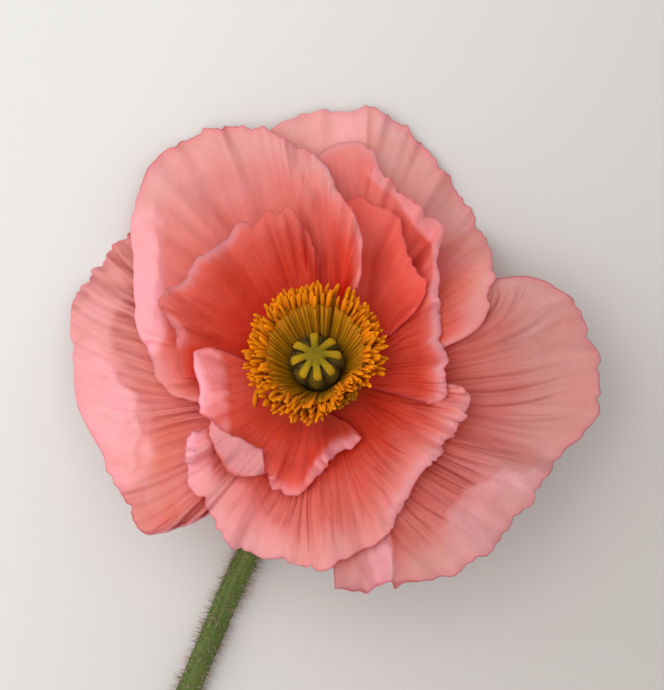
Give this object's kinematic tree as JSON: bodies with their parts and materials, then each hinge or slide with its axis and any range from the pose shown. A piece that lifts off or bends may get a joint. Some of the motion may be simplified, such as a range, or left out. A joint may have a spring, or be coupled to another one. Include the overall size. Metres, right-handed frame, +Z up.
{
  "type": "poppy flower",
  "caption": "Cut Iceland poppy lying on a surface: a wide semi-double bloom of ruffled petals, facing up, on a bent leafless stem.",
  "frame": {"origin": "middle of the flower's footprint, on the surface that it lies on", "axes": "+Z up from the surface, toward the open face of the bloom; +Y from the cut end of the stem toward the bloom; +X to the right as seen from above with the bloom at the top"},
  "size_m": [0.1256, 0.2025, 0.0371],
  "materials": {
    "stem_green": "satin",
    "petal_outer": "matte",
    "petal_inner": "matte",
    "stamen_gold": "matte",
    "capsule_green": "matte",
    "stigma_green": "matte"
  },
  "bodies": {
    "root": {"stem": "stem_green", "petal_outer_left": "petal_outer", "petal_outer_upper_left": "petal_outer", "petal_outer_upper_right": "petal_outer", "petal_outer_right": "petal_outer", "petal_lower": "petal_outer", "petal_inner_left": "petal_inner", "petal_inner_right": "petal_inner", "petal_inner_upper": "petal_inner", "petal_inner_front": "petal_inner", "stamens": "stamen_gold", "pistil_capsule": "capsule_green", "pistil_stigma": "stigma_green"}
  },
  "joints": []
}
